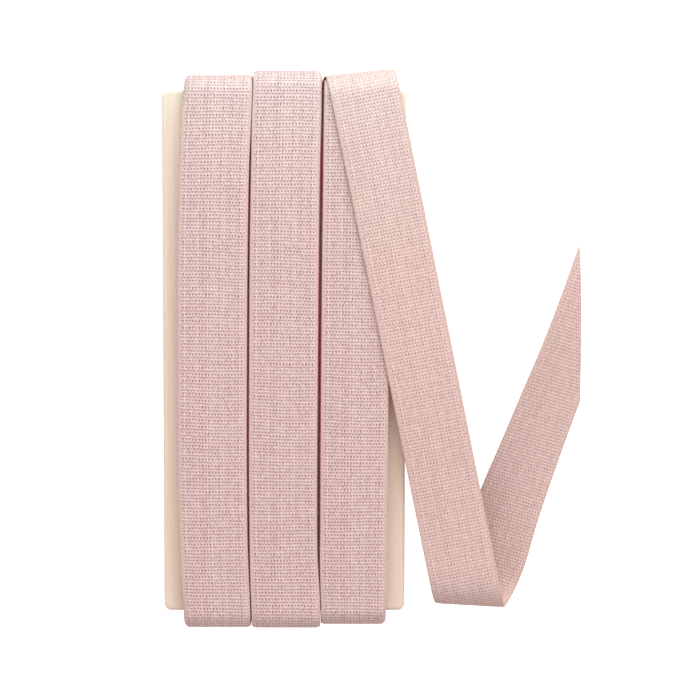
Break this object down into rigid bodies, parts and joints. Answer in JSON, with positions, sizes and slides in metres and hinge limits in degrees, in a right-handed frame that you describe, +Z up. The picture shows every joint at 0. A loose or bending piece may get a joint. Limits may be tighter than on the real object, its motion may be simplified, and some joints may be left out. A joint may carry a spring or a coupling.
{
  "type": "roll of cotton ribbon on a wooden board",
  "caption": "Narrow woven cotton tape wound lengthways in side-by-side columns over a flat wooden board, with one free end that slants down the front and turns back in a soft loop.",
  "frame": {"origin": "on the surface that the roll lies on, under the board's centre", "axes": "+Z up from the surface through the board's thickness, +Y along the board towards the end that the free end comes over, +X across the columns towards the free end"},
  "size_m": [0.0977, 0.1296, 0.013],
  "materials": {
    "wood": "bare, finely sanded, faint straight grain",
    "cotton": "matt plain weave with raised cross ribs"
  },
  "bodies": {
    "root": {"board": "wood", "wound_ribbon": "cotton", "loose_end": "cotton"}
  },
  "joints": []
}
